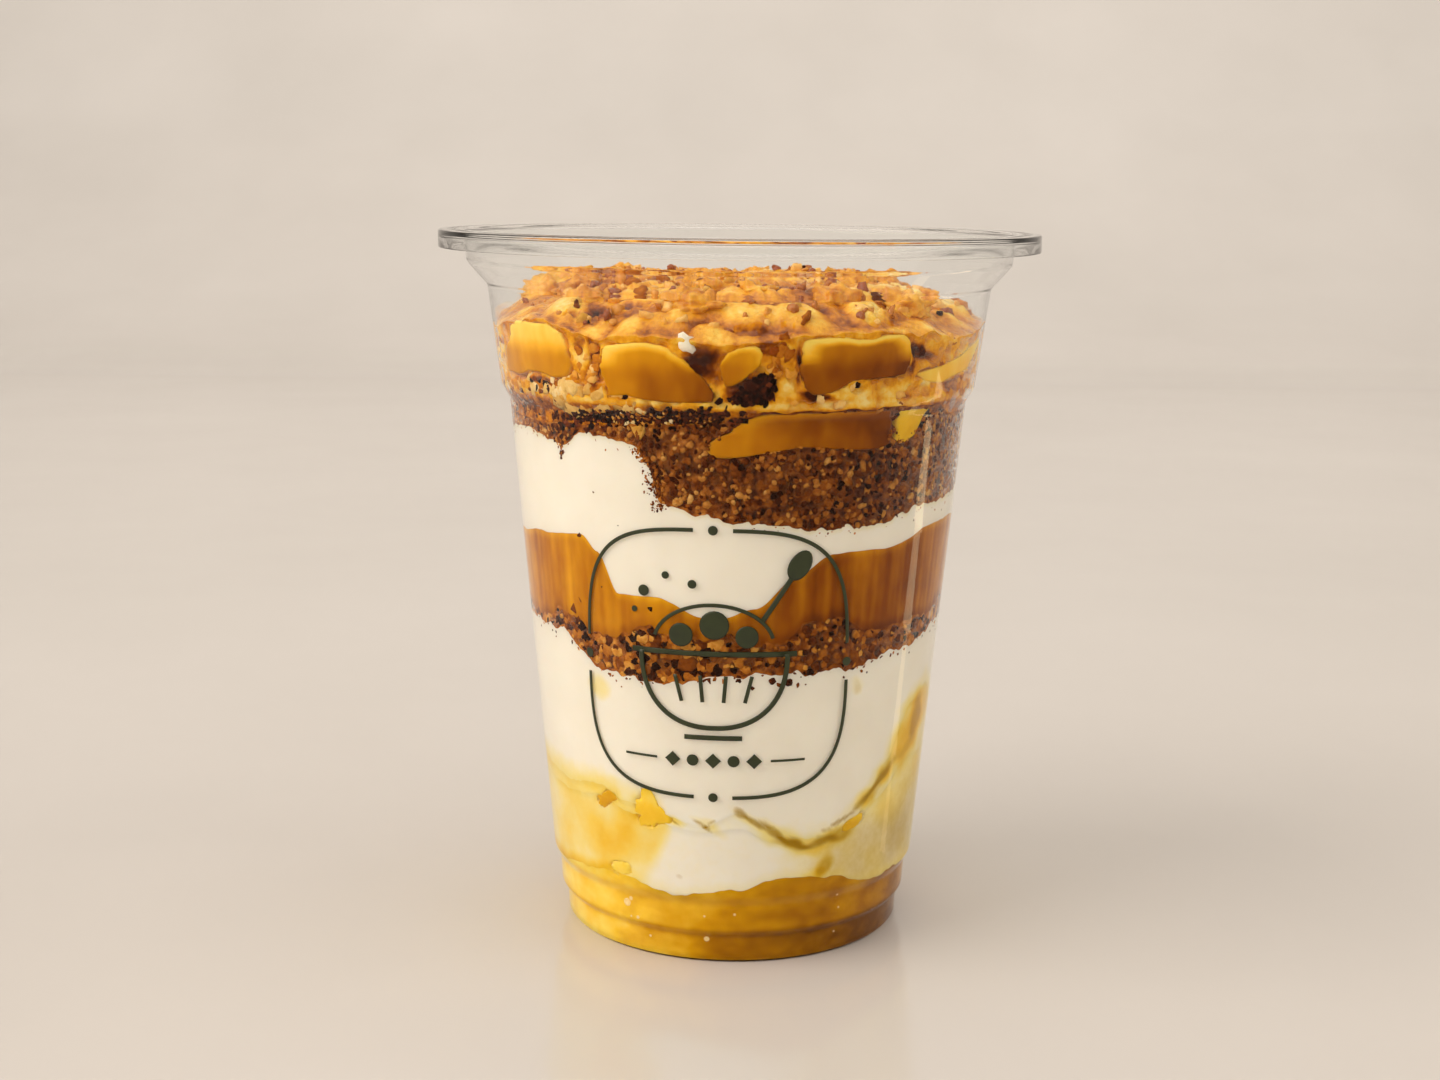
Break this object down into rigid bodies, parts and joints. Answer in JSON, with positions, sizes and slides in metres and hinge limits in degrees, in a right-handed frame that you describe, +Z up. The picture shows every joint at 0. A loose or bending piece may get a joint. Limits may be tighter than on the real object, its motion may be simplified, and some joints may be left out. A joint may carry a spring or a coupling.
{
  "type": "yogurt parfait",
  "caption": "Layered fruit, yogurt, granola and caramel parfait with a mounded granola top, in an open clear tapered cup with a wide rolled flange",
  "frame": {"origin": "middle of the cup's base, at the height of what it stands on", "axes": "+Z up along the cup's axis; the pictured front faces -Y; +X to the viewer's right"},
  "size_m": [0.098, 0.098, 0.1155],
  "materials": {
    "cup": "clear, glossy thin plastic with a small green print on the front",
    "mango_puree": "wet golden fruit puree",
    "yogurt": "smooth creamy white, satin, tinted yellow near the fruit",
    "mango": "wet yellow fruit",
    "granola": "rough toasted oat clusters",
    "crumb": "fine dark brown crumb",
    "caramel": "smooth glossy caramel",
    "chocolate": "dark chocolate with crumbs on it",
    "topping": "golden brown granola clusters with a thin caramel glaze"
  },
  "bodies": {
    "root": {"cup": "cup", "mango_puree": "mango_puree", "yogurt_bottom": "yogurt", "mango_seam": "mango", "yogurt_middle": "yogurt", "granola_lower": "granola", "caramel_lower": "caramel", "yogurt_upper": "yogurt", "crumb_upper": "crumb", "caramel_slab": "caramel", "fruit_slab": "mango", "chocolate_seam": "chocolate", "chocolate_chunk": "chocolate", "topping": "topping", "caramel_left": "caramel", "caramel_front": "caramel", "caramel_drop": "caramel", "caramel_block": "caramel", "caramel_streak": "caramel", "caramel_back_right": "caramel", "caramel_back": "caramel", "caramel_back_left": "caramel", "mango_left": "mango", "mango_bright": "mango", "mango_low": "mango", "mango_right": "mango", "mango_back": "mango", "mango_side": "mango"}
  },
  "joints": []
}
